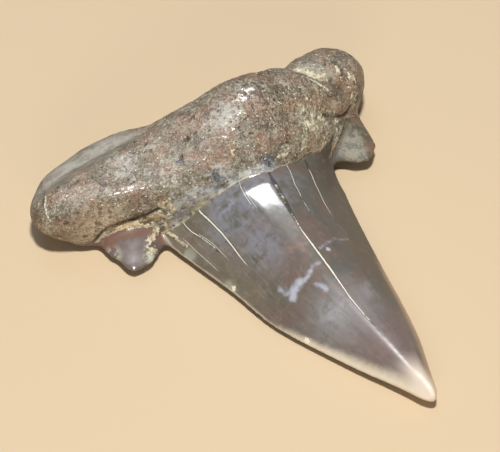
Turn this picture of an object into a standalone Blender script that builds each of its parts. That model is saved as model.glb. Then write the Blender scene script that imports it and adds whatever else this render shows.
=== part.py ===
"""A fossil shark tooth: a blade-like main cusp between two side cusplets, on a thick root with two lobes.

The tooth lies on its flat labial face, with the lingual side up. X runs along the root, -Y points to the
tip of the main cusp and Z is up. The origin is on the ground, under the middle of the tooth's own box.
Every size below is in millimetres, measured from the middle of the crown's foot; meshes are in metres.
"""

import math

import bpy
import numpy as np

MM = 0.001

# Root, cut across at stations along X. Each row is
# (x, crown side y, crest y, back y, under side z, widest z, crest z, squareness of the crown side).
ROOT_STATIONS = [
    (-15.1, 3.1, 4.8, 7.9, 0.2, 2.4, 4.9, 2.6),
    (-12.5, 2.5, 3.7, 8.0, 0.0, 2.6, 5.0, 3.0),
    (-10.0, 1.6, 2.6, 8.4, -0.1, 2.8, 5.2, 3.2),
    (-7.5, 0.5, 1.7, 8.6, -0.1, 2.7, 5.4, 3.0),
    (-5.0, -0.9, 1.6, 8.1, 0.0, 2.5, 6.0, 2.5),
    (-2.5, -1.9, 2.0, 7.2, 0.1, 2.4, 6.9, 2.1),
    (0.0, -2.3, 2.6, 6.7, 0.1, 2.6, 7.6, 1.9),
    (2.5, -2.3, 2.9, 6.3, 0.1, 2.6, 7.9, 1.9),
    (5.0, -1.7, 2.9, 6.0, 0.0, 2.6, 7.3, 2.0),
    (7.5, -0.3, 2.9, 6.1, -0.1, 2.7, 6.4, 2.2),
    (10.0, 1.0, 3.3, 6.0, -0.1, 2.9, 5.8, 2.4),
    (12.4, 1.8, 3.6, 5.8, 0.2, 3.0, 5.4, 2.4),
]
LEFT_END_ROUND, RIGHT_END_ROUND = 3.2, 2.8
BACK_SQUARENESS, UNDER_SQUARENESS = 2.35, 3.2
ROOT_RINGS, ROOT_RING_POINTS = 80, 64

# Main cusp, cut across at stations along Y. Each row is
# (y, left edge x, right edge x, edge z, lingual height over the edge, labial depth under it).
CUSP_STATIONS = [
    (2.6, -7.4, 6.8, 1.1, 4.0, 0.8),
    (0.6, -7.9, 7.2, 0.9, 4.4, 0.85),
    (-1.0, -7.5, 6.8, 0.8, 4.5, 0.85),
    (-3.7, -6.9, 5.8, 0.7, 4.5, 0.8),
    (-6.9, -6.2, 4.85, 0.65, 4.1, 0.75),
    (-10.6, -5.6, 3.85, 0.6, 3.5, 0.65),
    (-14.3, -4.3, 2.95, 0.65, 2.7, 0.55),
    (-17.7, -2.9, 1.95, 0.75, 1.9, 0.45),
    (-20.4, -1.7, 0.8, 0.9, 1.15, 0.35),
    (-22.6, -0.9, -0.1, 1.1, 0.7, 0.3),
]
CUSP_TIP_ROUND = 0.9
CUSP_RINGS = 110

# Side cusplets: plan points (x, y) of the feet and the tip. The heights are the cutting edge's z,
# the lingual height over it and the labial depth under it.
CUSPLETS = {
    "left_cusplet": dict(
        left_foot=(-11.6, 2.6),
        right_foot=(-7.5, -0.4),
        tip=(-11.05, -1.75),
        heights=(0.75, 1.8, 0.5),
    ),
    "right_cusplet": dict(
        left_foot=(6.5, -1.2),
        right_foot=(10.8, 1.8),
        tip=(9.55, -2.75),
        heights=(1.25, 1.4, 0.45),
    ),
}
CUSPLET_ROOTED = 0.9
CUSPLET_TIP_ROUND = 0.17
CUSPLET_RINGS = 60

# A cusp's cross-section: domes over and under two cutting edges, thinner near them the higher the power.
DOME_POWER = 1.15
EDGE_THICKNESS = 0.22
POINTS_ACROSS = 33
RINGS_CROWD_TO_TIP = 1.4
LAST_RING = 0.003

# Worn forms of the upper side, pressed in (-) or raised (+) along plan lines. Each row is
# (reach to each side, height, line points).
FORMS = {
    "groove between bulge and right lobe": (0.65, -0.65, [(6.2, 5.6), (6.9, 3.9), (7.8, 2.4), (9.2, 1.2)]),
    "right lobe": (1.6, 0.12, [(8.6, 5.0), (10.6, 4.2)]),
    "front ridge of the right lobe": (0.8, 0.3, [(5.3, 2.7), (6.8, 1.5), (8.6, 0.9)]),
    "hollow over the crown's right foot": (0.9, -0.35, [(3.4, 0.1), (5.6, -0.3), (7.8, -0.4)]),
    "valley along the left lobe's back": (0.7, -0.6, [(-13.4, 6.7), (-10.5, 6.8), (-6.8, 6.7), (-4.4, 6.7)]),
    "crease over the left cusplet": (0.5, -0.4, [(-11.4, 2.0), (-9.6, 1.2), (-8.0, 0.5)]),
    "neck along the crown's foot": (0.7, -0.3, [(-6.6, -0.6), (-3.8, -1.2), (0, -2), (3.6, -1.8), (6.3, -1)]),
    "bulge": (2.2, 0.25, [(0.6, 2.6), (2.0, 3.0)]),
}
FORMS_LOWEST_Z, FORMS_FULL_Z = 1.0, 2.2
FORMS_STEEPEST = 2.0

VOXEL = 0.13
FOOT_SMOOTHING = 16
SMOOTHED_ABOVE_Y, SMOOTHING_FADE, SMOOTHING_ON_BLADES = -1.2, 1.6, 0.3
KEPT_TRIANGLES = 8800
GROUND_MARGIN = 5.0
SHARP_ANGLE = math.radians(50)
TOOTH_COLOUR = (0.30, 0.22, 0.18, 1.0)
TOOTH_ROUGHNESS = 0.4


def through(rows, at):
    """Rows of numbers, the first of them a place, drawn through smoothly and read at the places in at."""
    rows = np.array(sorted(rows), float)
    place, value = rows[:, 0], rows[:, 1:]
    slope = np.gradient(value, place, axis=0)
    i = np.clip(np.searchsorted(place, at) - 1, 0, len(place) - 2)
    gap = (place[i + 1] - place[i])[:, None]
    t = ((at - place[i]) / gap[:, 0])[:, None]
    return (
        value[i] * (1 + 2 * t) * (1 - t) ** 2
        + slope[i] * gap * t * (1 - t) ** 2
        + value[i + 1] * t**2 * (3 - 2 * t)
        + slope[i + 1] * gap * t**2 * (t - 1)
    )


def signed_power(x, power):
    return np.sign(x) * np.abs(x) ** power


def skin(name, rings):
    """A closed solid over rings of points, the first and last of them closed with a fan."""
    count = len(rings[0])
    points = [p * MM for ring in rings for p in ring]
    faces = []
    for r in range(len(rings) - 1):
        for k in range(count):
            a, b = r * count + k, r * count + (k + 1) % count
            faces.append((a, b, b + count, a + count))
    for r, turn in ((0, -1), (len(rings) - 1, 1)):
        middle = len(points)
        points.append(np.mean(rings[r], axis=0) * MM)
        for k in range(count):
            side = (r * count + k, r * count + (k + 1) % count)
            faces.append((*side[::turn], middle))
    mesh = bpy.data.meshes.new(name)
    mesh.from_pydata([tuple(p) for p in points], [], faces)
    mesh.validate()
    solid = bpy.data.objects.new(name, mesh)
    bpy.context.scene.collection.objects.link(solid)
    return solid


def places_crowded_at_ends(low, high, count):
    """Places from low to high that crowd towards both ends, so that rounded ends stay round."""
    return low + (high - low) * (1 - np.cos(np.linspace(0, math.pi, count))) / 2


def root():
    """The root: rings round an axis along X, each of four quarter superellipses, thumb-like at both ends."""
    low, high = ROOT_STATIONS[0][0], ROOT_STATIONS[-1][0]
    at = places_crowded_at_ends(low, high, ROOT_RINGS)[1:-1]
    angle = np.linspace(0, 2 * math.pi, ROOT_RING_POINTS, endpoint=False)
    c, s = np.cos(angle), np.sin(angle)
    rings = []
    for x, (front, crest, back, under, widest, top, square) in zip(at, through(ROOT_STATIONS, at)):
        into_left = max(0.0, low + LEFT_END_ROUND - x) / LEFT_END_ROUND
        into_right = max(0.0, x - high + RIGHT_END_ROUND) / RIGHT_END_ROUND
        size = math.sqrt(1 - max(into_left, into_right) ** 2)
        power = np.where(s < 0, UNDER_SQUARENESS, np.where(c < 0, square, BACK_SQUARENESS))
        reach = np.where(c < 0, crest - front, back - crest)
        rise = np.where(s < 0, widest - under, top - widest)
        y = crest + size * reach * signed_power(c, 2 / power)
        z = widest + size * rise * signed_power(s, 2 / power)
        rings.append(np.stack([np.full_like(y, x), y, z], axis=1))
    return skin("root", rings)


def blade(name, lefts, rights, edges, linguals, labials):
    """A cusp: lens-shaped rings between a left and a right cutting edge, high on top and low underneath."""
    across = np.cos(np.linspace(0, math.pi, POINTS_ACROSS))
    dome = np.maximum(1 - across**2, 0) ** DOME_POWER
    rings = []
    for left, right, edge, lingual, labial in zip(lefts, rights, edges, linguals, labials):
        middle, half = (left + right) / 2, (right - left) / 2
        plan = middle + half * across[:, None]
        top = np.column_stack([plan, edge + EDGE_THICKNESS / 2 + lingual * dome])
        under = np.column_stack([plan, edge - EDGE_THICKNESS / 2 - labial * dome])
        rings.append(np.vstack([top, under[::-1]]))
    return skin(name, rings)


def main_cusp():
    foot, tip = CUSP_STATIONS[0][0], CUSP_STATIONS[-1][0]
    at = tip + (foot - tip) * np.linspace(1, LAST_RING, CUSP_RINGS) ** RINGS_CROWD_TO_TIP
    left, right, edge, lingual, labial = through(CUSP_STATIONS, at).T
    size = np.sqrt(1 - np.clip((tip + CUSP_TIP_ROUND - at) / CUSP_TIP_ROUND, 0, 1) ** 2)
    middle, half = (left + right) / 2, (right - left) / 2 * size
    lefts = np.stack([middle - half, at], axis=1)
    rights = np.stack([middle + half, at], axis=1)
    return blade("main_cusp", lefts, rights, edge, lingual * size, labial * size)


def cusplet(name, left_foot, right_foot, tip, heights):
    """A small triangular blade from inside the root to its rounded tip, straight-sided as a hyperbola is."""
    left_foot, right_foot, tip = (np.array(p, float) for p in (left_foot, right_foot, tip))
    from_tip = (1 + CUSPLET_ROOTED) * np.linspace(1, LAST_RING, CUSPLET_RINGS) ** RINGS_CROWD_TO_TIP
    visible = np.minimum(from_tip, 1)
    size = np.sqrt((visible**2 + 2 * CUSPLET_TIP_ROUND * visible) / (1 + 2 * CUSPLET_TIP_ROUND))
    foot = (left_foot + right_foot) / 2
    middle = tip + (foot - tip) * from_tip[:, None]
    half = (right_foot - left_foot) / 2 * size[:, None]
    edge, lingual, labial = heights
    edges = np.full_like(size, edge)
    return blade(name, middle - half, middle + half, edges, lingual * size, labial * size)


def evaluated_copy(source, name):
    """The object's mesh as its modifiers leave it, on an object of its own."""
    graph = bpy.context.evaluated_depsgraph_get()
    mesh = bpy.data.meshes.new_from_object(source.evaluated_get(graph))
    mesh.name = name
    made = bpy.data.objects.new(name, mesh)
    bpy.context.scene.collection.objects.link(made)
    return made


def grown_together(body, others):
    """One even skin over the body and the others, which overlap it."""
    for other in others:
        join = body.modifiers.new("join " + other.name, "BOOLEAN")
        join.operation = "UNION"
        join.object = other
        join.solver = "EXACT"
    even = body.modifiers.new("even skin", "REMESH")
    even.mode = "VOXEL"
    even.voxel_size = VOXEL * MM
    joined = evaluated_copy(body, "joined")
    for part in [body, *others]:
        bpy.data.objects.remove(part)
    return joined


def points_of(mesh):
    points = np.empty(len(mesh.vertices) * 3, np.float32)
    mesh.vertices.foreach_get("co", points)
    return points.reshape(-1, 3).astype(float) / MM


def normals_of(mesh):
    normals = np.empty(len(mesh.vertices) * 3, np.float32)
    mesh.vertex_normals.foreach_get("vector", normals)
    return normals.reshape(-1, 3).astype(float)


def set_points(mesh, points):
    mesh.vertices.foreach_set("co", (points * MM).astype(np.float32).ravel())
    mesh.update()


def distance_to_line(xy, line):
    """Plan distance of each point to a line through a few points."""
    nearest = np.full(len(xy), np.inf)
    for a, b in zip(np.array(line[:-1], float), np.array(line[1:], float)):
        t = np.clip((xy - a) @ (b - a) / ((b - a) @ (b - a)), 0, 1)
        nearest = np.minimum(nearest, np.linalg.norm(xy - a - t[:, None] * (b - a), axis=1))
    return nearest


def smooth_joints(mesh):
    """Rounds the joints between root, cusps and cusplets, and leaves the cusps' cutting edges crisp."""
    edges = np.empty(len(mesh.edges) * 2, np.int32)
    mesh.edges.foreach_get("vertices", edges)
    a, b = edges.reshape(-1, 2).T
    points = points_of(mesh)
    share = np.bincount(a, minlength=len(points)) + np.bincount(b, minlength=len(points))
    for _ in range(FOOT_SMOOTHING):
        total = np.zeros_like(points)
        for axis in range(3):
            total[:, axis] += np.bincount(a, points[b, axis], len(points))
            total[:, axis] += np.bincount(b, points[a, axis], len(points))
        weight = np.clip((points[:, 1] - SMOOTHED_ABOVE_Y) / SMOOTHING_FADE, SMOOTHING_ON_BLADES, 1)
        points += weight[:, None] / 2 * (total / share[:, None] - points)
    set_points(mesh, points)


def press_forms(mesh):
    """Presses in and raises the worn forms of the upper side."""
    for reach, height, line in FORMS.values():
        points, normals = points_of(mesh), normals_of(mesh)
        near = np.exp(-((distance_to_line(points[:, :2], line) / reach) ** 2))
        near *= np.clip((points[:, 2] - FORMS_LOWEST_Z) / (FORMS_FULL_Z - FORMS_LOWEST_Z), 0, 1)
        near *= np.clip(normals[:, 2] * FORMS_STEEPEST, 0, 1)
        set_points(mesh, points + normals * (height * near)[:, None])


def ground(mesh):
    """A slab under z = 0, which is cut away and leaves the flat spots that the tooth rests on."""
    points = points_of(mesh)
    low, high = points.min(axis=0) - GROUND_MARGIN, points.max(axis=0) + GROUND_MARGIN
    plan = [(low[0], low[1]), (high[0], low[1]), (high[0], high[1]), (low[0], high[1])]
    slab = skin("ground", [np.array([(*corner, z) for corner in plan]) for z in (-GROUND_MARGIN, 0.0)])
    slab.hide_render = True
    slab.display_type = "WIRE"
    return slab


def tooth_material():
    material = bpy.data.materials.new("fossil_tooth")
    material.use_nodes = True
    shader = material.node_tree.nodes["Principled BSDF"]
    shader.inputs["Base Color"].default_value = TOOTH_COLOUR
    shader.inputs["Roughness"].default_value = TOOTH_ROUGHNESS
    shader.inputs["Metallic"].default_value = 0.0
    return material


def centre_on_origin(tooth):
    """Moves the mesh until the origin is under its box's middle, and notes where the crown's foot is."""
    points = points_of(tooth.data)
    middle = (points.min(axis=0) + points.max(axis=0)) / 2
    middle[2] = 0
    set_points(tooth.data, points - middle)
    tooth["crown_foot_mm"] = tuple(-middle)


def main():
    for old in list(bpy.data.objects):
        bpy.data.objects.remove(old)
    cusplets = [cusplet(name, **sizes) for name, sizes in CUSPLETS.items()]
    tooth = grown_together(root(), [main_cusp(), *cusplets])
    tooth.name = "tooth"
    smooth_joints(tooth.data)
    press_forms(tooth.data)
    centre_on_origin(tooth)
    fewer = tooth.modifiers.new("fewer faces", "DECIMATE")
    fewer.ratio = KEPT_TRIANGLES / (2 * len(tooth.data.polygons))
    flat = tooth.modifiers.new("flat spots", "BOOLEAN")
    flat.operation = "DIFFERENCE"
    flat.object = ground(tooth.data)
    flat.solver = "EXACT"
    tooth.data.materials.clear()
    tooth.data.materials.append(tooth_material())
    tooth.data.shade_smooth()
    tooth.data.set_sharp_from_angle(angle=SHARP_ANGLE)


main()
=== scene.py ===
"""The looks of a fossil shark tooth: pitted root bone, cracked glossy enamel, soft light and a pale floor."""
import math

import bmesh
import bpy
import numpy as np
from mathutils import Matrix, Vector, noise


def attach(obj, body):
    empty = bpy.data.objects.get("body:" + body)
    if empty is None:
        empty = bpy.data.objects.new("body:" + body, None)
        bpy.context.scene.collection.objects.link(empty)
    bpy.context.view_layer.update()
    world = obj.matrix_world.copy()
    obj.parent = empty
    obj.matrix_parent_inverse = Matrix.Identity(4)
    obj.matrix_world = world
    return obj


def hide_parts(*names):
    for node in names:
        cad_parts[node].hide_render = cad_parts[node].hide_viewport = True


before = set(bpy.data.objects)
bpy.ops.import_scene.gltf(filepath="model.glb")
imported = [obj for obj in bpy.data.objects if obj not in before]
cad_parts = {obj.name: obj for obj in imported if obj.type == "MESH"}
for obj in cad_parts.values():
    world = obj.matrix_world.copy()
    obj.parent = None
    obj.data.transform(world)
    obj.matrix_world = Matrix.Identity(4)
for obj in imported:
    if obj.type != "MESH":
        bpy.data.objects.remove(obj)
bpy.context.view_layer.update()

# Lengths and places are in millimetres, in the frame of the solid: x runs along the root, y from the crown's
# tip to the root, and z up. The mesh goes back to metres at the end.
MM = 0.001
FACE_SIZE = 0.121
WELD_GAP = 0.001

# The camera looks down on the tooth from its left, as the photograph does.
VIEW_AZIMUTH = -35.0
VIEW_ELEVATION = 50.0
VIEW_DISTANCE = 220.0
VIEW_CENTRE = (-0.037, 4.991, 0.0)
FOCAL_PIXELS = 3080.0
PHOTO_WIDTH = 500.0
SENSOR_WIDTH = 36.0

# A small key lamp stands high above the camera's side, so the shadows are narrow. A window-like lamp behind the
# tooth shows only in the gloss, and a weak low lamp in front lights the sides that face the camera.
KEY_AZIMUTH, KEY_ELEVATION = -35.0, 79.5
KEY_SIZE = (28.0, 28.0)
KEY_POWER = 0.97
WINDOW_DIRECTION = (0.03, 0.5, 0.87)
WINDOW_SIZE = (165.0, 118.0)
WINDOW_POWER = 1.45
FRONT_DIRECTION = (-0.54, -0.77, 0.34)
FRONT_SIZE = (160.0, 60.0)
FRONT_POWER = 0.2
LAMP_DISTANCE = 300.0
FILL_STRENGTH = 0.13
FLOOR_SIDE = 3000.0

# Smoothing of the remade mesh, in rounds. Sharp edges are left alone, and the places where the cusplets and
# the crown meet the root get more.
CROWN_ROUNDS = 36
ROOT_ROUNDS = 8
JOIN_ROUNDS = 110
SHARP_START, SHARP_END = 0.004, 0.02
JOIN_PLACES = [
    (6.9, 4.9, 2.6, 2.6), (8.9, 6.3, 2.4, 1.6), (-9.2, 6.2, 1.4, 2.0), (10.8, 4.4, 1.4, 0.8), (-9.0, 7.2, 2.0, 1.5),
    (-10.9, 12.2, 4.4, 1.4), (-9.5, 12.6, 4.8, 1.4), (-8.0, 12.6, 5.0, 1.4), (-6.4, 12.5, 5.1, 1.4),
    (-4.9, 12.4, 5.3, 1.4)]

# Small pulls on the fine mesh, as the place, the reach and the move: the rounded side cusplets.
PULLS = [
    ((-10.0, 6.3, 1.1), 1.1, (-0.12, -0.2, 0.0)), ((-7.3, 6.0, 1.0), 1.0, (-0.1, 0.06, 0.0)),
    ((-8.4, 5.4, 0.9), 1.1, (0.42, -0.28, 0.0)), ((-7.6, 5.9, 0.9), 0.9, (0.2, -0.12, 0.0)),
    ((-12.6, 11.6, 0.6), 3.0, (0.29, 0.41, 0.55)),
    ((9.3, 4.9, 1.2), 2.2, (-0.26, -0.38, 0.0)), ((8.2, 5.9, 1.2), 1.2, (-0.15, -0.2, 0.0)),
    ((10.5, 4.4, 1.3), 1.2, (-0.15, -0.22, 0.0))]

# The left cusplet's middle is rounded more, down to its rim.
CUSPLET_PLACE, CUSPLET_ROUNDS, CUSPLET_RIM_Z = (-9.0, 6.8, 1.7, 2.2), 300, (1.0, 1.4)

# The edge of the enamel on the upper face, from the left cusplet over the crown to the right cusplet.
ENAMEL_EDGE = [
    (-14.0, 9.3), (-10.3, 9.15), (-9.3, 8.8), (-8.6, 8.35), (-7.9, 8.05), (-7.0, 7.85), (-6.4, 7.2), (-5.5, 6.75),
    (-4.15, 6.35), (-2.9, 5.95), (-0.8, 5.5), (0.6, 5.15), (1.6, 4.75), (2.6, 4.95), (5.0, 5.25), (6.6, 5.5),
    (8.1, 6.3), (9.5, 7.0), (11.0, 7.6), (14.0, 8.0)]
UNDER_EDGE_SHIFT = 1.3
ENAMEL_STEP = 0.05

# Cracks of the crown from left to right, each from the root towards the tip, with its width along the way
# and the share of it that pale mineral fills.
CRACKS = [
    [(-4.73, 6.41), (-4.7, 5.46), (-4.48, 4.4), (-4.27, 3.34), (-4.2, 2.4)],
    [(-3.61, 6.27), (-3.6, 5.5), (-3.57, 4.48), (-3.5, 3.48), (-3.47, 2.27), (-3.47, 1.18), (-3.42, 0.2)],
    [(-0.61, 5.52), (-0.88, 4.88), (-1.05, 4.16), (-1.15, 3.4), (-1.15, 2.7)],
    [(1.5, 4.95), (1.24, 4.24), (1.06, 3.51), (0.84, 2.23), (0.63, 0.95), (0.42, -0.6), (0.38, -2.2), (0.33, -4.2),
     (0.22, -6.6), (0.3, -8.2), (0.42, -9.3), (0.46, -10.6)],
    [(3.18, 5.02), (2.94, 4.21), (2.44, 3.02), (2.32, 2.36), (2.08, 1.56), (1.99, 0.83), (1.84, 0.0)],
    [(4.95, 5.4), (4.95, 5.0), (4.65, 4.02), (4.27, 3.01), (4.08, 2.26), (3.76, 1.22), (3.62, 0.3), (3.4, -0.8)]]
CRACK_WIDTHS = [
    [0.02, 0.03, 0.03, 0.03, 0.0], [0.045, 0.055, 0.055, 0.05, 0.04, 0.03, 0.0], [0.025, 0.03, 0.03, 0.025, 0.0],
    [0.06, 0.1, 0.17, 0.16, 0.1, 0.05, 0.08, 0.085, 0.05, 0.04, 0.03, 0.0],
    [0.03, 0.035, 0.035, 0.035, 0.03, 0.025, 0.0], [0.06, 0.06, 0.045, 0.045, 0.04, 0.04, 0.03, 0.0]]
CRACK_FILL = [
    [0.5, 0.5, 0.45, 0.4, 0.3], [1.0, 1.0, 1.0, 1.0, 0.9, 0.85, 0.8], [0.4, 0.5, 0.5, 0.45, 0.4],
    [0.1, 0.2, 0.3, 0.36, 0.28, 0.5, 0.95, 1.0, 0.8, 0.45, 0.2, 0.1],
    [0.7, 0.6, 0.45, 0.5, 0.4, 0.4, 0.3], [0.1, 0.1, 0.75, 0.7, 0.5, 0.5, 0.4, 0.3]]

# Finer scratches between the cracks, in the same form.
SCRATCHES = [
    [(-5.3, 5.6), (-5.15, 4.2), (-4.9, 2.6), (-4.75, 1.4)],
    [(-4.48, 4.78), (-4.23, 3.65), (-4.12, 2.58), (-4.01, 1.5)],
    [(-2.9, 1.6), (-2.95, 0.2), (-2.9, -1.4)],
    [(-1.83, 5.0), (-1.93, 4.49), (-1.92, 4.0)],
    [(-0.74, 4.7), (-0.94, 3.9), (-1.0, 3.19), (-1.04, 2.45)]]
SCRATCH_WIDTHS = [[0.02, 0.03, 0.03, 0.0], [0.025, 0.03, 0.03, 0.0], [0.0, 0.02, 0.0], [0.02, 0.03, 0.0],
                  [0.02, 0.035, 0.03, 0.0]]
SCRATCH_FILL = [[0.5, 0.6, 0.5, 0.3], [0.6, 0.7, 0.6, 0.4], [0.3, 0.3, 0.3], [0.4, 0.5, 0.4], [0.8, 0.9, 0.8, 0.6]]

# The face of the crown drops a little on the right of its longest crack.
MAIN_CRACK = 3
FOLD_DEPTH, FOLD_WIDTH = 0.09, 0.8
MINERAL_THICKNESS = 0.05

# Large pores of the root, as place and radius.
PORES = [
    (-1.07, 10.91, 6.8, 0.2), (-8.73, 10.4, 5.23, 0.28), (-2.26, 9.66, 6.49, 0.3), (-3.28, 8.81, 6.13, 0.24), (-10.14, 11.97, 5.01, 0.26), (-5.1, 7.3, 3.6, 0.3),
    (4.42, 8.28, 7.58, 0.16), (1.9, 5.4, 4.95, 0.26), (11.1, 9.96, 5.84, 0.26), (11.12, 9.3, 5.6, 0.22),
    (9.49, 7.71, 5.23, 0.2), (8.9, 6.7, 3.2, 0.24), (8.3, 6.6, 2.6, 0.22)]

# Worn forms that are sharper than the solid's own, pressed in (-) or raised (+) along lines, as the reach to
# each side, the height and the points.
SHARP_FORMS = {
    "crease under the left lobe": (0.12, -0.26, [
        (-10.6, 9.25, 1.0), (-10.2, 9.13, 1.6), (-9.84, 9.04, 2.09), (-9.35, 8.86, 2.48), (-8.84, 8.74, 2.57),
        (-8.27, 8.57, 2.69), (-7.57, 8.35, 2.64), (-6.99, 7.94, 2.97), (-6.54, 7.71, 3.22), (-6.0, 7.5, 3.5)]),
    "lip of the left lobe": (0.4, 0.16, [
        (-10.2, 9.5, 2.2), (-9.4, 9.2, 2.9), (-8.3, 8.9, 3.1), (-7.5, 8.6, 3.2), (-6.7, 8.1, 3.5)]),
    "shelf of the left cusplet": (0.42, 0.24, [
        (-9.7, 8.5, 1.6), (-9.0, 8.2, 1.95), (-8.2, 7.9, 2.1), (-7.4, 7.75, 1.9), (-6.9, 7.5, 1.7)]),
    "crease under the right lobe": (0.16, -0.26, [
        (7.9, 7.0, 4.9), (8.36, 6.98, 4.47), (9.13, 7.05, 3.81), (10.17, 7.48, 3.19), (10.9, 7.9, 3.1)]),
    "lip of the right lobe": (0.35, 0.12, [(7.6, 7.5, 5.7), (8.6, 7.4, 4.9), (9.6, 7.6, 4.3), (10.4, 8.0, 4.0)]),
    "gap beside the right cusplet": (0.17, -0.22, [
        (9.85, 6.88, 2.42), (9.03, 6.35, 1.91), (8.45, 6.02, 1.51), (8.15, 5.85, 1.22)])}

# Crusts and streaks of pale mineral, as tint (0 white, 1 ochre), the reach to each side and the points.
MINERAL = {
    "ridge over the left cusplet": (1.0, 0.33, [
        (-9.2, 8.7, 2.1), (-8.6, 8.54, 2.28), (-8.08, 8.4, 2.4), (-7.5, 8.13, 2.32), (-7.06, 7.92, 2.43),
        (-6.62, 7.68, 2.68), (-6.23, 7.38, 2.92), (-5.86, 7.2, 2.8)]),
    "crust on the left cusplet's foot": (0.45, 0.3, [
        (-8.35, 8.15, 2.32), (-7.9, 8.03, 2.29), (-7.4, 7.95, 2.12), (-6.9, 7.85, 1.9), (-6.4, 7.6, 1.85)]),
    "crust beside the left cusplet": (0.4, 0.42, [
        (-6.4, 7.3, 1.6), (-6.9, 7.1, 1.6), (-7.5, 6.7, 1.65), (-7.9, 6.3, 1.4), (-7.3, 6.25, 1.06)]),
    "crust at the crown's left foot": (0.7, 0.2, [
        (-5.81, 6.85, 1.47), (-5.62, 6.25, 1.38), (-5.57, 5.7, 1.33), (-5.39, 5.08, 1.38)]),
    "crust over the crown's left foot": (0.5, 0.34, [(-6.0, 7.48, 3.94), (-5.43, 7.3, 4.3), (-5.2, 7.0, 3.4)]),
    "end of the left lobe": (0.15, 0.13, [
        (-12.35, 12.34, 4.41), (-12.74, 11.88, 4.25), (-13.01, 11.22, 3.99), (-13.02, 10.72, 3.61)]),
    "groove behind the right lobe": (0.35, 0.5, [
        (8.0, 11.3, 5.9), (8.5, 10.6, 5.9), (9.07, 9.86, 5.8), (9.65, 9.42, 5.63)]),
    "streak along the right lobe": (0.2, 0.15, [
        (7.57, 9.4, 7.14), (8.06, 8.85, 6.9), (8.55, 8.29, 6.46), (8.99, 7.9, 5.9), (9.3, 7.71, 5.35)]),
    "small fleck": (0.4, 0.24, [(10.82, 9.69, 5.82), (10.7, 9.15, 5.63)]),
    "large fleck": (0.1, 0.62, [(11.56, 8.77, 5.4), (11.66, 8.57, 5.1)]),
    "chip on the bulge": (0.0, 0.14, [(6.84, 8.12, 6.74), (6.91, 7.84, 6.53)]),
    "spot on the bulge": (0.35, 0.22, [(1.98, 8.36, 7.6), (1.85, 8.6, 7.7)]),
    "spot under the bulge": (0.6, 0.2, [(-0.31, 6.95, 6.45), (-0.3, 6.6, 6.3)]),
    "crust on the crown's right foot": (0.55, 0.3, [(5.14, 5.82, 4.82), (5.23, 5.57, 4.25)]),
    "crust over the longest crack": (0.35, 0.24, [(3.4, 5.5, 4.9), (2.9, 5.5, 5.1)])}

# Where thin yellow lines of mineral still cling to the bone, as place and reach.
CRUMB_PLACES = [
    (5.9, 7.0, 5.9, 1.4), (7.2, 6.7, 4.9, 1.7), (8.2, 6.6, 3.8, 1.6), (7.4, 6.0, 3.0, 1.4), (8.9, 6.6, 2.6, 1.1),
    (5.2, 6.0, 5.0, 1.3), (3.4, 5.7, 5.2, 0.8), (-5.8, 7.2, 3.2, 1.1), (-6.4, 7.3, 2.0, 1.0), (-5.0, 8.1, 4.9, 0.9),
    (11.2, 8.2, 3.6, 0.8)]

# Milky marks in the crown's enamel, as strength, the reach to each side and the points.
MILKY_MARKS = {
    "upper end of the stroke": (0.6, 0.24, [(0.04, -3.32, 4.2), (-0.51, -3.25, 4.08), (-0.85, -3.39, 3.91)]),
    "long stroke": (0.9, 0.3, [
        (-0.85, -3.39, 3.91), (-1.14, -3.55, 3.73), (-1.51, -3.6, 3.49), (-1.95, -3.51, 3.17)]),
    "broad end": (1.3, 0.5, [(-1.7, -3.45, 3.3), (-2.29, -3.52, 2.87), (-2.5, -3.75, 2.55)]),
    "side stroke": (0.8, 0.32, [(-2.83, -2.61, 2.55), (-2.77, -3.13, 2.49), (-2.4, -3.5, 2.75)]),
    "second mark": (0.9, 0.3, [(-1.04, -4.4, 3.6), (-0.83, -4.65, 3.64), (-0.73, -5.1, 3.58)]),
    "spot": (2.6, 0.2, [(1.14, -2.74, 4.27), (1.16, -2.78, 4.27)]),
    "net": (0.5, 0.22, [
        (0.68, -2.43, 4.39), (1.51, -2.23, 4.26), (2.19, -2.01, 4.01), (2.67, -2.2, 3.66), (3.39, -2.06, 3.13)])}


# Colours as they are seen, from 0 to 255.
FLOOR, BONE_PALE = (207, 184, 150), (170, 159, 140)
BONE_BROWN, BONE_RED, BONE_OCHRE_LIT_FRONT, BONE_DARK = (121, 111, 92), (136, 109, 87), (154, 130, 98), (86, 71, 56)
BONE_GREY, BONE_LIT_FRONT, FIN_DARK, FIN_PALE = (172, 169, 158), (200, 178, 148), (120, 115, 102), (152, 148, 136)
NECK_BLUE, NECK_WHITE, NECK_STAIN = (126, 129, 134), (176, 177, 168), (70, 76, 90)
GRAIN_PALE, GRAIN_DARK, WHITE_GRAIN_AND_GLINT, PORE_AND_SHADE = (190, 180, 160), (78, 62, 48), (226, 218, 198), (56, 44, 36)
CRUMB, CRUMB_FILM = (230, 224, 194), (170, 165, 142)
CRUST_WHITE, CRUST_OCHRE, EDGE_CRUMB = (226, 220, 196), (198, 176, 132), (186, 172, 132)
CREASE_SHADE, CRUST_DARK = (62, 47, 31), (132, 116, 84)
ENAMEL_OLIVE, ENAMEL_BROWN, ENAMEL_RED = (100, 97, 90), (112, 97, 88), (138, 107, 96)
BLUE_TINT_AND_SHEEN, LOWER_GREY, MAUVE, GLOW = (136, 141, 153), (150, 148, 148), (122, 105, 100), (180, 184, 188)
FLANK, STREAK_DARK, STREAK_PALE, SIDE_OLIVE = (74, 69, 57), (90, 80, 70), (150, 145, 138), (116, 106, 88)
CREAM, EDGE_GREEN, LIT_AMBER_EDGE, TIP = (230, 217, 192), (174, 174, 156), (192, 160, 130), (236, 220, 200)
MILK, CRACK_DARK, CRACK_WHITE, CRACK_YELLOW = (184, 188, 200), (44, 36, 30), (228, 223, 206), (200, 192, 154)
CUSPLET_BROWN, CUSPLET_LILAC, CUSPLET_RED = (98, 84, 75), (117, 106, 102), (124, 92, 75)
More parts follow.
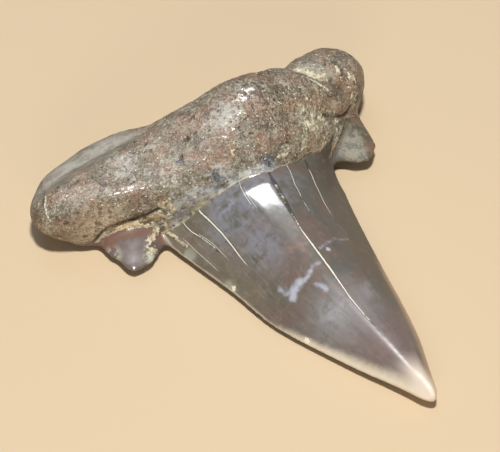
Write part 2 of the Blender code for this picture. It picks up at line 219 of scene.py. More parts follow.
GREY_DARK, GREY_PALE, CUSPLET_RIM = (86, 81, 66), (130, 123, 103), (196, 192, 170)
GROOVE_OLIVE = (152, 148, 126)


def copied_solid(node):
    """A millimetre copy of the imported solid, with its seams welded."""
    mesh = node.data.copy()
    mesh.transform(Matrix.Scale(1.0 / MM, 4))
    shape = bmesh.new()
    shape.from_mesh(mesh)
    bmesh.ops.remove_doubles(shape, verts=shape.verts, dist=WELD_GAP)
    shape.to_mesh(mesh)
    shape.free()
    copy = bpy.data.objects.new("fossil_tooth", mesh)
    bpy.context.collection.objects.link(copy)
    return copy


def remade_evenly(tooth):
    """Gives the object small faces of one size."""
    remesh = tooth.modifiers.new("even faces", "REMESH")
    remesh.mode = "VOXEL"
    remesh.voxel_size = FACE_SIZE
    remesh.adaptivity = 0.0
    depsgraph = bpy.context.evaluated_depsgraph_get()
    made = bpy.data.meshes.new_from_object(tooth.evaluated_get(depsgraph))
    tooth.modifiers.clear()
    tooth.data = made


class Surface:
    """The points of the fine mesh with their normals and neighbours, as arrays."""

    def __init__(self, mesh):
        self.points = np.empty(len(mesh.vertices) * 3)
        mesh.vertices.foreach_get("co", self.points)
        self.points = self.points.reshape(-1, 3)
        self.edges = np.empty(len(mesh.edges) * 2, int)
        mesh.edges.foreach_get("vertices", self.edges)
        self.edges = self.edges.reshape(-1, 2)
        ends = np.concatenate((self.edges, self.edges[:, ::-1]))
        ends = ends[np.argsort(ends[:, 0], kind="stable")]
        self.neighbours = ends[:, 1]
        self.starts = np.searchsorted(ends[:, 0], np.arange(len(self.points)))
        self.degree = np.bincount(ends[:, 0])[:, None]
        mesh.calc_loop_triangles()
        self.triangles = np.empty(len(mesh.loop_triangles) * 3, int)
        mesh.loop_triangles.foreach_get("vertices", self.triangles)
        self.triangles = self.triangles.reshape(-1, 3)

    def around(self, values):
        """The mean of each point's neighbours."""
        return np.add.reduceat(values[self.neighbours], self.starts) / self.degree

    def normals(self):
        """The unit normal of each point."""
        a, b, c = (self.points[self.triangles[:, k]] for k in range(3))
        facing = np.cross(b - a, c - a)
        total = np.zeros_like(self.points)
        for k in range(3):
            np.add.at(total, self.triangles[:, k], facing)
        return total / np.maximum(np.linalg.norm(total, axis=1, keepdims=True), 1e-12)

    def relax(self, rounds, share):
        """Moves each point towards its neighbours' middle, by its share of the way."""
        for _ in range(rounds):
            self.points += share * (self.around(self.points) - self.points)

    def hollowness(self, rounds):
        """How far each point lies below the surface around it, or above it where negative."""
        smooth = self.points.copy()
        for _ in range(rounds):
            smooth = self.around(smooth)
        return np.sum((smooth - self.points) * self.normals(), axis=1)


def step(values, start, end):
    """0 at the start and 1 at the end, with a smooth way between."""
    share = np.clip((values - start) / (end - start), 0.0, 1.0)
    return share * share * (3.0 - 2.0 * share)


def through(places, values):
    """Values read from a line of (place, value) points."""
    at, value = np.array(places).T
    return np.interp(values, at, value)


def grain(points, size, octaves=1, seed=0):
    """Noise of both signs with lumps about one size across."""
    shift = Vector((11.3 * seed, 5.7 * seed, 3.1 * seed))
    return np.array([noise.fractal(Vector(p) / size + shift, 1.0, 2.0, octaves) for p in points])


def pits(points, spacing, widest, seed):
    """The depth, from 0 to 1, of round pits of mixed sizes, one to a cell."""
    shift = Vector((7.9 * seed, 2.3 * seed, 13.1 * seed))
    depth = np.zeros(len(points))
    for k, p in enumerate(points):
        distances, centres = noise.voronoi(Vector(p) / spacing + shift)
        luck = 0.5 + 0.5 * math.sin(91.0 * centres[0].x + 57.0 * centres[0].y + 23.0 * centres[0].z)
        radius = widest * (0.35 + 0.65 * luck)
        depth[k] = max(0.0, 1.0 - distances[0] * spacing / radius)
    return step(depth, 0.0, 1.0)


def nearness(points, places):
    """1 in the middle of the nearest place, 0 at its reach."""
    best = np.zeros(len(points))
    for x, y, z, reach in places:
        away = np.linalg.norm(points - (x, y, z), axis=1)
        best = np.maximum(best, 1.0 - away / reach)
    return best


def distance_to_line(points, line):
    """How far each point lies from a line through a few places."""
    nearest = np.full(len(points), np.inf)
    for a, b in zip(np.array(line[:-1]), np.array(line[1:])):
        t = np.clip((points - a) @ (b - a) / ((b - a) @ (b - a)), 0.0, 1.0)
        nearest = np.minimum(nearest, np.linalg.norm(points - a - t[:, None] * (b - a), axis=1))
    return nearest


def along(points, direction, share):
    """The points with their spread along a direction cut to a share."""
    direction = np.array(direction) / np.linalg.norm(direction)
    return points - (1.0 - share) * np.outer(points @ direction, direction)


def enamel_reach(points):
    """How far each point lies on the enamel's side of its edge."""
    x, y, z = points.T
    edge = through(ENAMEL_EDGE, x) + UNDER_EDGE_SHIFT * step(z, 1.1, 0.4)
    return edge - y


def blade_sides(points):
    """Where the crown's cutting edges run: left and right x for each y, as interpolating lines."""
    x, y, z = points.T
    rows = np.arange(y.min(), 6.0, 0.25)
    left, right = [], []
    for row in rows:
        band = (np.abs(y - row) < 0.25) & (x > -6.6) & (x < 8.4)
        left.append(x[band].min())
        right.append(x[band].max())
    return rows, np.array(left), np.array(right)


def crack_fields(points, cracks, crack_widths, crack_fill):
    """Signed distance to the nearest crack, its width there and how full it is.

    The sign flips from one crack to the next, so that it changes only on a crack and never between two."""
    x, y = points[:, 0], points[:, 1]
    nearest = np.full(len(points), 9.0)
    width, fill = np.zeros(len(points)), np.zeros(len(points))
    sign = 1.0
    for line, widths, fills in zip(cracks, crack_widths, crack_fill):
        line_x, line_y = np.array(line[::-1]).T
        away = (x - np.interp(y, line_y, line_x)) * sign
        closer = np.abs(away) < np.abs(nearest)
        nearest = np.where(closer, away, nearest)
        inside = step(y, line_y[0] - 0.1, line_y[0] + 0.1) * step(y, line_y[-1] + 0.2, line_y[-1])
        width = np.where(closer, np.interp(y, line_y, widths[::-1]) * inside, width)
        fill = np.where(closer, np.interp(y, line_y, fills[::-1]), fill)
        sign = -sign
    return nearest, width, fill


def smoothed(surface, on_root):
    """Takes the steps of the remade mesh away, and leaves the cutting edges crisp."""
    normals = surface.normals()
    bend = 1.0 - np.linalg.norm(surface.around(surface.around(normals)), axis=1)
    free = 1.0 - step(bend, SHARP_START, SHARP_END)
    surface.relax(ROOT_ROUNDS, 0.5 * np.maximum(free, on_root)[:, None])
    surface.relax(CROWN_ROUNDS, (0.6 * free * (1.0 - on_root))[:, None])
    surface.relax(JOIN_ROUNDS, 0.6 * step(nearness(surface.points, JOIN_PLACES), 0.0, 0.5)[:, None])
    inner = step(nearness(surface.points, [CUSPLET_PLACE]), 0.0, 0.3) * step(surface.points[:, 2], *CUSPLET_RIM_Z)
    surface.relax(CUSPLET_ROUNDS, 0.6 * (inner * (1.0 - on_root))[:, None])
    for place, reach, move in PULLS:
        surface.points += step(nearness(surface.points, [place + (reach,)]), 0.0, 1.0)[:, None] * np.array(move)


def bone_relief(points):
    """The bone's lift in millimetres, with its pits, its fibres and its smooth fin as fields."""
    fibre_points = along(points, (0.2, -0.95, -0.2), 0.35)
    fibres = step(nearness(points, [(5.2, 9.2, 7.4, 5.4)]), 0.15, 0.5)
    fin = step(points[:, 1], 12.3, 12.8) * step(points[:, 0], -3.0, -4.6)
    rough = 1.0 - 0.8 * fin
    small_pits = pits(points, 0.8, 0.3, 1) * rough
    long_pits = pits(fibre_points, 0.5, 0.22, 2) * fibres
    pores = step(nearness(points, PORES), 0.0, 0.7)
    lift = 0.12 * grain(points, 2.4, 1, 4) + 0.06 * grain(points, 1.0, 1, 5) * rough
    lift += 0.035 * grain(points, 0.45, 1, 6) * rough
    lift -= 0.09 * small_pits + 0.08 * long_pits + 0.25 * pores
    return lift, np.maximum.reduce([small_pits, long_pits, pores]), fibres, fin


def carved(tooth):
    """Smooths the fine mesh, carves the root and the enamel's edge, and keeps what the colours need."""
    surface = Surface(tooth.data)
    reach = enamel_reach(surface.points)
    on_root = step(reach, 0.15, -0.15)
    smoothed(surface, on_root)
    rows, left, right = blade_sides(surface.points)

    points, normals = surface.points, surface.normals()
    root = np.flatnonzero(on_root > 0.0)
    lift, pit, fibres, fin, crumb = (np.zeros(len(points)) for _ in range(5))
    lift[root], pit[root], fibres[root], fin[root] = bone_relief(points[root])
    crumb[root] = step(nearness(points[root], CRUMB_PLACES), 0.0, 0.7)
    lift *= on_root
    lift -= ENAMEL_STEP * on_root * step(reach, -0.9, -0.1)
    crease = np.zeros(len(points))
    for width, height, line in SHARP_FORMS.values():
        near = np.exp(-((distance_to_line(points, line) / width) ** 2))
        lift += height * near
        # The deep pressed-in grooves also mark where the colours get painted shade.
        crease = np.maximum(crease, near * (height < -0.15))
    mineral, tint = np.zeros(len(points)), np.zeros(len(points))
    for shade, width, line in MINERAL.values():
        near = np.clip(1.0 - distance_to_line(points, line) / width, 0.0, 1.0)
        tint = np.where(near > mineral, shade, tint)
        mineral = np.maximum(mineral, near)
    lift += MINERAL_THICKNESS * step(mineral, 0.1, 0.6)
    milk = np.zeros(len(points))
    for strength, width, line in MILKY_MARKS.values():
        milk = np.maximum(milk, strength * (1.0 - distance_to_line(points, line) / width))

    crack, crack_width, crack_fill = crack_fields(points, CRACKS, CRACK_WIDTHS, CRACK_FILL)
    scratch, scratch_width, scratch_fill = crack_fields(points, SCRATCHES, SCRATCH_WIDTHS, SCRATCH_FILL)
    main_y, main_x = np.array(CRACKS[MAIN_CRACK][::-1]).T[::-1]
    beyond = np.maximum(points[:, 0] - np.interp(points[:, 1], main_y, main_x), 0.0)
    lift -= FOLD_DEPTH * (1.0 - on_root) * (1.0 - np.exp(-beyond / FOLD_WIDTH)) * step(points[:, 1], -4.0, 2.0)
    lift = np.where(points[:, 2] < 0.6, np.minimum(lift, 0.0), lift)
    surface.points = points + normals * lift[:, None]
    surface.points[:, 2] = np.maximum(surface.points[:, 2], 0.0)

    x, y = points[:, 0], points[:, 1]
    left_x, right_x = np.interp(y, rows, left), np.interp(y, rows, right)
    cusplet = np.maximum(step(left_x - x, -0.1, 0.2), step(x - right_x, -0.1, 0.2))
    across = 2.0 * (x - left_x) / np.maximum(right_x - left_x, 0.3) - 1.0
    return surface, {
        "enamel_reach": reach, "pit": pit, "fibres": fibres, "fin": fin, "crumb": crumb, "crease": crease,
        "mineral": mineral, "tint": tint, "milk": milk, "hollow": surface.hollowness(14), "across": across,
        "rim": np.minimum(x - left_x, right_x - x), "cusplet": cusplet,
        "crack": crack, "crack_width": crack_width, "crack_fill": crack_fill,
        "scratch": scratch, "scratch_width": scratch_width, "scratch_fill": scratch_fill}


def fine_tooth(node):
    """The tooth's fine surface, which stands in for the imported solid."""
    tooth = copied_solid(node)
    remade_evenly(tooth)
    surface, fields = carved(tooth)
    mesh = tooth.data
    mesh.vertices.foreach_set("co", (surface.points * MM).ravel())
    for name, values in fields.items():
        kept = mesh.attributes.new(name, "FLOAT", "POINT")
        kept.data.foreach_set("value", values)
    mesh.shade_smooth()
    mesh.materials.clear()
    mesh.materials.append(tooth_finish())
    mesh.update()
    return tooth


def seen(red, green, blue):
    """A colour given as it is seen, from 0 to 255, in the form that a shader takes."""
    parts = [c / 255.0 for c in (red, green, blue)]
    return [c / 12.92 if c < 0.04045 else ((c + 0.055) / 1.055) ** 2.4 for c in parts] + [1.0]


class Value:
    """An output of a node. Arithmetic on it adds Math nodes to its material."""

    def __init__(self, paint, socket):
        self.paint = paint
        self.socket = socket

    def __add__(self, other):
        return self.paint.maths("ADD", self, other)

    def __radd__(self, other):
        return self.paint.maths("ADD", other, self)

    def __sub__(self, other):
        return self.paint.maths("SUBTRACT", self, other)

    def __rsub__(self, other):
        return self.paint.maths("SUBTRACT", other, self)

    def __mul__(self, other):
        return self.paint.maths("MULTIPLY", self, other)

    def __rmul__(self, other):
        return self.paint.maths("MULTIPLY", other, self)

    def __truediv__(self, other):
        return self.paint.maths("DIVIDE", self, other)

    def __rtruediv__(self, other):
        return self.paint.maths("DIVIDE", other, self)

    def __abs__(self):
        return self.paint.maths("ABSOLUTE", self)


class Paint:
    """A material and the ways to add nodes to it."""

    def __init__(self, name):
        self.material = bpy.data.materials.new(name)
        self.material.use_nodes = True
        self.tree = self.material.node_tree
        self.tree.nodes.clear()
        metres = self.node("TexCoord", output="Object")
        self.where = self.node("VectorMath", {"operation": "SCALE"}, {0: metres, "Scale": 1.0 / MM}, "Vector")

    def node(self, kind, settings=None, sockets=None, output=0):
        """Adds a node: first its settings, then the values or links of its sockets."""
        made = self.tree.nodes.new("ShaderNode" + kind)
        for name, value in (settings or {}).items():
            setattr(made, name, value)
        for name, value in (sockets or {}).items():
            if isinstance(value, Value):
                self.tree.links.new(value.socket, made.inputs[name])
            else:
                made.inputs[name].default_value = value
        return None if output is None else Value(self, made.outputs[output])

    def maths(self, operation, *values):
        return self.node("Math", {"operation": operation}, dict(enumerate(values)))

    def larger(self, a, b):
        return self.maths("MAXIMUM", a, b)

    def smooth(self, value, start, end):
        """0 at the start and 1 at the end, with a smooth way between."""
        if start > end:
            return 1.0 - self.smooth(value, end, start)
        sockets = {"Value": value, "From Min": start, "From Max": end}
        return self.node("MapRange", {"interpolation_type": "SMOOTHSTEP"}, sockets)

    def blend(self, share, first, second, kind="MIX"):
        """A colour between two colours."""
        settings = {"data_type": "RGBA", "blend_type": kind}
        return self.node("Mix", settings, {0: share, 6: first, 7: second}, 2)

    def kept(self, name):
        """A number that the mesh keeps for each point."""
        return self.node("Attribute", {"attribute_name": name}, output="Fac")

    def noise(self, size, detail=2.0, at=None, roughness=0.5):
        """Noise around 0.5 with lumps about one size across."""
        sockets = {"Vector": at or self.where, "Scale": 1.0 / size, "Detail": detail, "Roughness": roughness}
        return self.node("TexNoise", sockets=sockets)

    def cells(self, size, at=None, output="Distance"):
        """Distance to the nearest of scattered points, as a share of their spacing, or that point's own colour."""
        return self.node("TexVoronoi", sockets={"Vector": at or self.where, "Scale": 1.0 / size}, output=output)

    def specks(self, size, radius, share, at=None):
        """Round specks, one to a cell of that size, of which only a share are there."""
        luck = self.smooth(self.cells(size, at, "Color"), 0.62 - 0.3 * share, 0.56 - 0.3 * share)
        return luck * self.smooth(self.cells(size, at), radius / size, 0.4 * radius / size)

    def near(self, place, reach):
        """1 at the place and 0 at its reach."""
        away = self.node("VectorMath", {"operation": "DISTANCE"}, {0: self.where, 1: place}, "Value")
        return self.smooth(away, reach, 0.0)

    def stretched(self, factors):
        """The place, with its sides scaled by the factors."""
        return self.node("VectorMath", {"operation": "MULTIPLY"}, {0: self.where, 1: factors}, "Vector")

    def bent(self, size, amount):
        """The place, moved by up to the amount in swirls of that size, so that patches get ragged shapes."""
        swirl = self.node("TexNoise", sockets={"Vector": self.where, "Scale": 1.0 / size}, output="Color")
        sockets = {0: swirl, 1: (amount, amount, amount), 2: self.where}
        return self.node("VectorMath", {"operation": "MULTIPLY_ADD"}, sockets, "Vector")


def bone(paint):
    """Colour and fine relief of the root.

    It is reddish brown under grey veils, with dark pores and strokes, pale grain specks, mineral crusts and
    crumbs, a smooth grey fin and a bluish grey neck next to the enamel. Its faces towards the crown get
    painted light, its pits and hollows painted shade, and some white grain specks stand for painted glints."""
    hollow, reach, fin = paint.kept("hollow"), paint.kept("enamel_reach"), paint.kept("fin")
    bent = paint.bent(0.9, 0.8)
    broad, middle = paint.noise(1.7, 3.0, bent), paint.noise(0.6, 3.0, bent, 0.6)
    fine, small = paint.noise(0.2, 3.0, roughness=0.6), paint.noise(0.42, 2.0)
    where_x = paint.node("SeparateXYZ", sockets={0: paint.where}, output="X")

    red = paint.smooth(broad, 0.45, 0.55)
    colour = paint.blend(red, seen(*BONE_BROWN), seen(*BONE_RED))
    # Paler, warmer colour on the root's front on the right: an ochre tone of the bone, partly painted light on that
    # front.
    colour = paint.blend(0.8 * paint.near((6.5, 7.2, 5.4), 3.8), colour, seen(*BONE_OCHRE_LIT_FRONT))
    # The front under the left lobe is painted lighter: painted light on a face that the lamps leave dim.
    colour = paint.blend(0.9 * paint.near((-9.8, 9.4, 2.4), 3.4), colour, seen(*BONE_LIT_FRONT))
    patch = paint.noise(1.1, 8.0, bent, 0.72)
    pale_share = (0.8 - 0.4 * red) * (1.0 - 0.45 * paint.near((0.4, 7.2, 6.2), 3.4))
    colour = paint.blend(pale_share * paint.smooth(patch, 0.52, 0.59), colour, seen(*BONE_PALE))
    colour = paint.blend(0.7 * paint.smooth(patch, 0.47, 0.4), colour, seen(*BONE_DARK))
    colour = paint.blend(0.35 * paint.smooth(small, 0.48, 0.36), colour, seen(*BONE_DARK))
    veil = paint.larger(paint.near((0.6, 9.2, 7.5), 2.6), 0.45 * paint.near((-1.3, 8.1, 6.6), 1.8))
    veil = paint.larger(veil, 0.9 * paint.near((-6.6, 11.0, 5.2), 2.4))
    veil = paint.larger(veil, 0.6 * paint.near((-4.9, 8.8, 5.3), 1.8))
    veil = paint.smooth(0.6 * veil + 0.9 * middle + 0.6 * patch - 2.0 * hollow, 0.98, 1.3)
    veil = veil * paint.smooth(fine + small, 0.78, 1.08)
    colour = paint.blend(0.75 * veil, colour, seen(*BONE_GREY))
    groove = paint.larger(paint.near((8.6, 10.5, 5.9), 1.4), paint.near((9.5, 9.4, 5.7), 1.4))
    colour = paint.blend(0.7 * paint.smooth(groove + 1.2 * (patch - 0.5), 0.25, 0.6), colour, seen(*GROOVE_OLIVE))
    streaky = paint.noise(0.5, 2.0, paint.stretched((0.35, 1.0, 1.0)))
    fin_colour = paint.blend(paint.smooth(streaky, 0.4, 0.6), seen(*FIN_DARK), seen(*FIN_PALE))
    colour = paint.blend(0.75 * fin, colour, fin_colour)

    neck = paint.smooth(reach + 3.0 * (middle - 0.5) + 1.6 * (broad - 0.5), -1.1, -0.4)
    neck = neck * paint.smooth(where_x, 3.0, 1.6) * paint.smooth(where_x, -6.0, -4.8)
    neck_colour = paint.blend(paint.smooth(middle + small, 0.92, 1.1), seen(*NECK_BLUE), seen(*NECK_WHITE))
    colour = paint.blend(0.85 * neck, colour, neck_colour)
    stain = paint.larger(paint.near((1.9, 5.6, 5.2), 0.9), 0.7 * paint.near((-2.0, 6.4, 5.3), 0.9))
    stain = paint.larger(stain, 0.8 * paint.near((-3.5, 8.6, 6.1), 0.6))
    colour = paint.blend(0.8 * paint.smooth(stain + 1.2 * (small - 0.5), 0.3, 0.55), colour, seen(*NECK_STAIN))

    rough = 1.0 - 0.75 * fin
    rough = rough * (1.0 - 0.5 * neck) * (1.0 - 0.35 * veil)
    grit, clump = paint.noise(0.1, 1.0), paint.smooth(paint.noise(0.5, 2.0, bent), 0.42, 0.6)
    colour = paint.blend(0.3 * rough * paint.smooth(fine, 0.53, 0.62), colour, seen(*GRAIN_PALE))
    colour = paint.blend(0.4 * rough * paint.smooth(fine, 0.46, 0.37), colour, seen(*GRAIN_DARK))
    colour = paint.blend(0.55 * clump * rough * paint.smooth(grit, 0.55, 0.63), colour, seen(*GRAIN_PALE))
    colour = paint.blend(0.4 * rough * (1.2 - clump) * paint.smooth(grit, 0.45, 0.37), colour, seen(*GRAIN_DARK))
    long_noise = paint.noise(0.16, 2.0, paint.stretched((1.0, 0.3, 0.6)))
    strokes = paint.kept("fibres") * paint.smooth(long_noise, 0.44, 0.36)
    pores = paint.larger(paint.specks(0.42, 0.1, 0.5), paint.specks(0.95, 0.2, 0.4))
    pores = paint.larger(pores * rough, 0.8 * strokes)
    colour = paint.blend(0.75 * pores, colour, seen(*PORE_AND_SHADE))
    # White grain specks: pale mineral grains, and painted glints as well.
    grains_and_glints = paint.specks(0.3, 0.09, 0.6, bent) * rough
    colour = paint.blend(0.85 * grains_and_glints, colour, seen(*WHITE_GRAIN_AND_GLINT))
    # Darker in the carved pits and where the surface lies below its surroundings: painted shade.
    dark = paint.larger(paint.kept("pit"), paint.smooth(hollow, 0.03, 0.1))
    colour = paint.blend(0.65 * dark, colour, seen(*PORE_AND_SHADE))

    worms = paint.smooth(abs(small - 0.5), 0.035, 0.01)
    crumb = paint.kept("crumb")
    film = paint.smooth(crumb + 1.6 * (middle - 0.5) + 1.2 * (patch - 0.5), 0.35, 0.85)
    colour = paint.blend(0.5 * film, colour, seen(*CRUMB_FILM))
    crumbs = film * paint.larger(worms * paint.smooth(patch, 0.45, 0.52), paint.smooth(fine + middle, 1.04, 1.16))
    colour = paint.blend(0.85 * crumbs, colour, seen(*CRUMB))
    colour = paint.blend(0.6 * film * paint.smooth(fine + middle, 0.97, 0.85), colour, seen(*PORE_AND_SHADE))
    height = 0.07 * fine * rough + 0.06 * middle + 0.03 * small + 0.035 * grains_and_glints + 0.03 * crumbs - 0.05 * pores
    return colour, height


def enamel(paint):
    """Colour of the enamel: brown with a lilac tint and a painted blue-grey sheen, pale rims and tip, a light
    amber rim that is partly painted light, filled cracks and milky marks.
    """
    across, rim = paint.kept("across"), paint.kept("rim")
    place = paint.node("SeparateXYZ", sockets={0: paint.where}, output="Y")
    fan = paint.node("CombineXYZ", sockets={0: 7.0 * across, 1: 0.2 * place})
    streak, thin_streak = paint.noise(1.0, 3.0, fan), paint.noise(0.25, 3.0, fan)
    bent = paint.bent(1.6, 1.2)
    cloud, wisp = paint.noise(2.2, 4.0, bent, 0.6), paint.noise(0.5, 4.0, bent)
    haze = paint.noise(0.22, 3.0, bent, 0.6)

    colour = paint.blend(paint.smooth(cloud, 0.4, 0.6), seen(*ENAMEL_OLIVE), seen(*ENAMEL_BROWN))
    # A blue-grey patch around the crown's highlight: painted reflection of the sky, over a lilac tint of the
    # enamel.
    tint_and_sheen = paint.larger(paint.near((-2.4, 4.2, 4.2), 3.6), paint.near((-0.2, 3.4, 5.0), 3.2))
    tint_and_sheen = paint.larger(tint_and_sheen, 0.7 * paint.near((2.6, 3.2, 4.8), 2.0))
    tint_and_sheen = paint.larger(tint_and_sheen, 0.9 * paint.near((-4.0, 3.4, 2.8), 2.4))
    tint_and_sheen = paint.larger(tint_and_sheen, 0.7 * paint.near((-2.4, 0.6, 3.6), 3.4))
    tint_and_sheen = tint_and_sheen * paint.smooth(cloud + 0.6 * wisp, 0.6, 0.9)
    colour = paint.blend(0.95 * tint_and_sheen, colour, seen(*BLUE_TINT_AND_SHEEN))
    lower = paint.near((-0.6, -7.4, 2.9), 4.2)
    colour = paint.blend(0.75 * lower, colour, seen(*LOWER_GREY))
    mauve = paint.smooth(place, -6.5, -10.5)
    colour = paint.blend(0.8 * mauve, colour, seen(*MAUVE))
    glow = paint.larger(paint.near((-1.25, -6.6, 2.8), 1.5), 0.7 * paint.near((2.0, -6.7, 3.1), 1.2))
    glow = glow * paint.smooth(cloud + 0.3 * wisp, 0.5, 0.8)
    colour = paint.blend(0.7 * glow, colour, seen(*GLOW))
    red = paint.near((-0.5, -1.5, 4.4), 1.5) * paint.smooth(wisp, 0.42, 0.58)
    colour = paint.blend(0.7 * red, colour, seen(*ENAMEL_RED))
    flank = paint.smooth(across, 0.3, 0.8) * paint.smooth(place, -10.0, -4.0)
    colour = paint.blend(0.55 * flank, colour, seen(*FLANK))
    side = paint.smooth(across, -0.5, -0.9) * paint.smooth(place, -5.0, -1.0)
    colour = paint.blend(0.7 * side, colour, seen(*SIDE_OLIVE))
    colour = paint.blend(0.25 * paint.smooth(streak, 0.48, 0.36), colour, seen(*STREAK_DARK))
    mottle = paint.noise(0.7, 8.0, bent, 0.7)
    colour = paint.blend(0.3 * paint.smooth(mottle, 0.47, 0.38), colour, seen(*STREAK_DARK))
    colour = paint.blend(0.16 * paint.smooth(mottle, 0.53, 0.62), colour, seen(*STREAK_PALE))
    lines = paint.smooth(thin_streak, 0.54, 0.7) * paint.smooth(across, 0.0, -0.5)
    colour = paint.blend(0.24 * lines, colour, seen(*STREAK_PALE))

    on_left, on_right = paint.smooth(across, 0.0, -0.3), paint.smooth(across, 0.0, 0.3)
    pale_reach = 0.3 - 0.06 * (place + 4.0)
    cream = paint.smooth((rim + 0.25 * (wisp - 0.5)) / pale_reach, 1.15, 0.1) * paint.smooth(place, -3.0, -6.5)
    colour = paint.blend(0.85 * cream * on_left, colour, seen(*CREAM))
    upper_edge = paint.larger(paint.near((-5.45, 4.5, 1.1), 0.9), 0.7 * paint.near((-4.9, 0.6, 0.9), 1.1))
    upper_edge = paint.smooth(upper_edge + 0.7 * (wisp - 0.5), 0.1, 0.7) * paint.smooth(rim, 0.9, 0.1)
    colour = paint.blend(0.6 * upper_edge, colour, seen(*EDGE_GREEN))
    # A light amber rim along the right edge: the thin edge's own amber colour, lightened as a painted lit edge.
    lit_amber_rim = paint.smooth(rim, 0.75, 0.1) * paint.smooth(place, -2.0, -5.5)
    colour = paint.blend(0.8 * lit_amber_rim * on_right, colour, seen(*LIT_AMBER_EDGE))
    chips = paint.larger(paint.near((-3.19, -6.35, 0.9), 0.5), paint.near((-4.63, 0.33, 0.9), 0.4))
    chips = chips + 1.4 * (haze - 0.5)
    edge = paint.larger(0.5 * paint.smooth(rim, 0.13, 0.03) * on_left, paint.smooth(chips, 0.36, 0.6))
    colour = paint.blend(edge, colour, seen(*CREAM))
    tip = paint.smooth(place - 1.4 * paint.smooth(rim, 0.2, 1.1), -13.0, -15.8)
    colour = paint.blend(tip, colour, seen(*TIP))

    milk = paint.kept("milk")
    milk = paint.smooth(milk + 1.0 * (haze - 0.5) + 0.8 * (wisp - 0.5), 0.0, 1.2) * paint.smooth(milk, 0.0, 0.25)
    colour = paint.blend(0.85 * milk, colour, seen(*MILK))
    colour = paint.blend(paint.kept("cusplet"), colour, cusplet_colour(paint, cloud, wisp))
    yellow = paint.near((0.95, 2.6, 5.2), 2.1)
    colour = filled_lines(paint, colour, "scratch", wisp, haze, 0.0, 0.5)
    return filled_lines(paint, colour, "crack", wisp, haze, yellow, 1.0)


def filled_lines(paint, colour, name, wisp, crumble, yellow, strength):
    """Cracks or scratches: a dark gap with pale mineral along the filled part of its way."""
    width = paint.kept(name + "_width")
    away = abs(paint.kept(name)) + 0.03 * (wisp - 0.5) + 0.9 * width * (crumble - 0.5)
    there = paint.smooth(width, 0.0, 0.02)
    gap = there * paint.smooth(away - width, 0.05, 0.0)
    colour = paint.blend(0.65 * strength * gap, colour, seen(*CRACK_DARK))
    line = there * paint.smooth(away - 0.6 * width, 0.025, -0.01)
    line = line * paint.smooth(paint.kept(name + "_fill") + 0.4 * wisp + 0.8 * crumble, 0.9, 1.1)
    return paint.blend(strength * line, colour, paint.blend(yellow, seen(*CRACK_WHITE), seen(*CRACK_YELLOW)))


def cusplet_colour(paint, cloud, wisp):
    """Enamel of the side cusplets: reddish near the bone, grey below, and reddish at the right one's tip."""
    colour = paint.blend(paint.smooth(cloud + 0.6 * wisp, 0.6, 1.0), seen(*CUSPLET_BROWN), seen(*CUSPLET_LILAC))
    band = paint.smooth(paint.kept("enamel_reach") + 0.8 * (wisp - 0.5), 1.3, 0.5)
    colour = paint.blend(0.75 * band, colour, seen(*CUSPLET_RED))
    grey = paint.smooth(paint.near((9.4, 5.8, 1.8), 3.0), 0.1, 0.4)
    specks = paint.noise(0.16, 3.0, roughness=0.7)
    grey_colour = paint.blend(paint.smooth(wisp + specks, 0.85, 1.15), seen(*GREY_DARK), seen(*GREY_PALE))
    colour = paint.blend(grey, colour, grey_colour)
    colour = paint.blend(0.9 * paint.near((10.9, 4.9, 1.6), 1.3), colour, seen(*CUSPLET_RED))
    rim = paint.larger(paint.near((-10.0, 7.6, 0.9), 1.0), paint.near((-8.0, 6.0, 0.9), 0.8))
    return paint.blend(rim * paint.smooth(wisp, 0.42, 0.56), colour, seen(*CUSPLET_RIM))


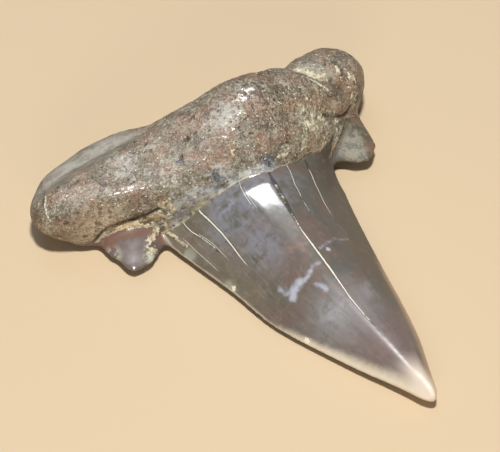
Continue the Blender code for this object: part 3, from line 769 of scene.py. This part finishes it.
def tooth_finish():
    """The material of the whole tooth."""
    paint = Paint("fossil_tooth")
    edge_wander = 0.25 * (paint.noise(0.4, 3.0) - 0.5)
    reach = paint.kept("enamel_reach") + edge_wander
    on_enamel = paint.smooth(reach, -0.03, 0.03)
    bone_colour, bone_height = bone(paint)
    colour = paint.blend(on_enamel, bone_colour, enamel(paint))
    crumble = paint.noise(0.25, 3.0, roughness=0.65)
    mineral = paint.kept("mineral")
    crust = paint.smooth(mineral + 2.2 * (crumble - 0.5), 0.34, 0.6) * paint.smooth(mineral, 0.0, 0.15)
    crust_colour = paint.blend(paint.kept("tint"), seen(*CRUST_WHITE), seen(*CRUST_OCHRE))
    crust_colour = paint.blend(0.6 * paint.smooth(crumble, 0.56, 0.48), crust_colour, seen(*CRUST_DARK))
    colour = paint.blend(0.9 * crust, colour, crust_colour)
    edge_line = paint.smooth(abs(reach + 0.05), 0.14, 0.04) * paint.smooth(crumble, 0.4, 0.55)
    on_crown = 1.0 - paint.kept("cusplet")
    left_of_crack = paint.smooth(paint.node("SeparateXYZ", sockets={0: paint.where}, output="X"), 2.4, 0.4)
    edge_line = edge_line * on_crown * (0.2 + 0.45 * left_of_crack)
    colour = paint.blend(edge_line, colour, seen(*EDGE_CRUMB))
    # Painted shade along the pressed-in creases.
    colour = paint.blend(0.65 * paint.kept("crease"), colour, seen(*CREASE_SHADE))

    fan = paint.node("CombineXYZ", sockets={0: 9.0 * paint.kept("across")})
    lines = 0.002 * paint.noise(0.35, 2.0, fan) + 0.002 * paint.noise(0.5, 2.0)
    matt = paint.larger(1.0 - on_enamel, crust)
    height = bone_height * (1.0 - on_enamel) + lines * on_enamel + 0.05 * crust * crumble
    normal = paint.node("Bump", sockets={"Distance": MM, "Strength": 1.0, "Height": height}, output="Normal")
    shine = paint.larger(paint.near((-7.7, 8.5, 4.5), 2.1), paint.near((2.7, 9.6, 8.0), 1.6))
    shine = paint.larger(shine, 0.7 * paint.near((1.1, 8.4, 7.4), 1.5))
    shine = paint.larger(shine, 0.1 - 0.1 * paint.kept("fin"))
    glints = shine * matt * paint.smooth(paint.noise(0.3, 1.0), 0.4, 0.6)
    rough_bone = 0.6 - 0.4 * glints
    dull = paint.larger(0.8 * paint.smooth(paint.kept("across"), 0.1, 0.5), paint.near((9.6, 5.2, 1.6), 5.0))
    cusplet_matt = paint.kept("cusplet") * (1.0 - paint.near((-9.6, 5.8, 1.0), 1.45))
    dull = paint.larger(dull, cusplet_matt)
    place = paint.node("SeparateXYZ", sockets={0: paint.where}, output="Y")
    dull = paint.larger(dull, 0.4 * paint.smooth(place, -7.0, -12.0))
    enamel_rough = 0.17 + 0.38 * dull
    glaze = paint.smooth(dull, 0.75, 0.0)
    shader = paint.node("BsdfPrincipled", sockets={
        "Base Color": colour, "Roughness": enamel_rough + matt * (rough_bone - enamel_rough),
        "Coat Weight": paint.larger(glaze * (1.0 - matt), glints), "Coat Roughness": 0.14,
        "Normal": normal,
        "Subsurface Weight": 0.0, "IOR": 1.42})
    paint.node("OutputMaterial", sockets={"Surface": shader}, output=None)
    return paint.material


def floor():
    """A plain pale floor."""
    half = FLOOR_SIDE * MM / 2
    mesh = bpy.data.meshes.new("floor")
    mesh.from_pydata([(-half, -half, 0), (half, -half, 0), (half, half, 0), (-half, half, 0)], [], [(0, 1, 2, 3)])
    board = bpy.data.objects.new("floor", mesh)
    bpy.context.collection.objects.link(board)
    finish = bpy.data.materials.new("pale_floor")
    finish.use_nodes = True
    shader = finish.node_tree.nodes["Principled BSDF"]
    shader.inputs["Base Color"].default_value = seen(*FLOOR)
    shader.inputs["Roughness"].default_value = 0.9
    mesh.materials.append(finish)
    return board


def aimed(thing, place, direction):
    """Puts a camera or a lamp at a place, looking against the direction."""
    thing.location = Vector(place) * MM
    thing.rotation_mode = "QUATERNION"
    thing.rotation_quaternion = Vector(direction).to_track_quat("Z", "Y")
    bpy.context.collection.objects.link(thing)


def towards(azimuth, elevation):
    """The direction from the tooth to a place at that azimuth, 0 being the crown's side, and elevation."""
    turn, tilt = math.radians(azimuth), math.radians(elevation)
    return Vector((math.sin(turn) * math.cos(tilt), -math.cos(turn) * math.cos(tilt), math.sin(tilt)))


def camera():
    """The photograph's view."""
    back = towards(VIEW_AZIMUTH, VIEW_ELEVATION)
    lens = bpy.data.cameras.new("camera")
    lens.sensor_fit = "HORIZONTAL"
    lens.sensor_width = SENSOR_WIDTH
    lens.lens = SENSOR_WIDTH * FOCAL_PIXELS / PHOTO_WIDTH
    lens.clip_start, lens.clip_end = 0.01, 10.0
    eye = bpy.data.objects.new("camera", lens)
    aimed(eye, Vector(VIEW_CENTRE) + back * VIEW_DISTANCE, back)
    bpy.context.scene.camera = eye


def lamp(name, direction, size, power):
    """A flat rectangular lamp that shines on the tooth from a direction."""
    shine = bpy.data.lights.new(name, "AREA")
    shine.shape = "RECTANGLE"
    shine.size, shine.size_y = (side * MM for side in size)
    shine.energy = power
    holder = bpy.data.objects.new(name, shine)
    direction = Vector(direction).normalized()
    aimed(holder, direction * LAMP_DISTANCE, direction)
    return holder


def light():
    """The key lamp, the window in the gloss, the low front lamp and a soft even fill."""
    lamp("key", towards(KEY_AZIMUTH, KEY_ELEVATION), KEY_SIZE, KEY_POWER)
    window = lamp("window", WINDOW_DIRECTION, WINDOW_SIZE, WINDOW_POWER)
    window.visible_diffuse = False
    lamp("front", FRONT_DIRECTION, FRONT_SIZE, FRONT_POWER)
    world = bpy.data.worlds.new("fill")
    world.use_nodes = True
    sky = world.node_tree.nodes["Background"]
    sky.inputs["Color"].default_value = seen(246, 248, 255)
    sky.inputs["Strength"].default_value = FILL_STRENGTH
    bpy.context.scene.world = world
    bpy.context.scene.view_settings.view_transform = "Standard"


camera()
light()
floor()
tooth = fine_tooth(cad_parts["tooth"])
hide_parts("tooth")
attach(tooth, "root")
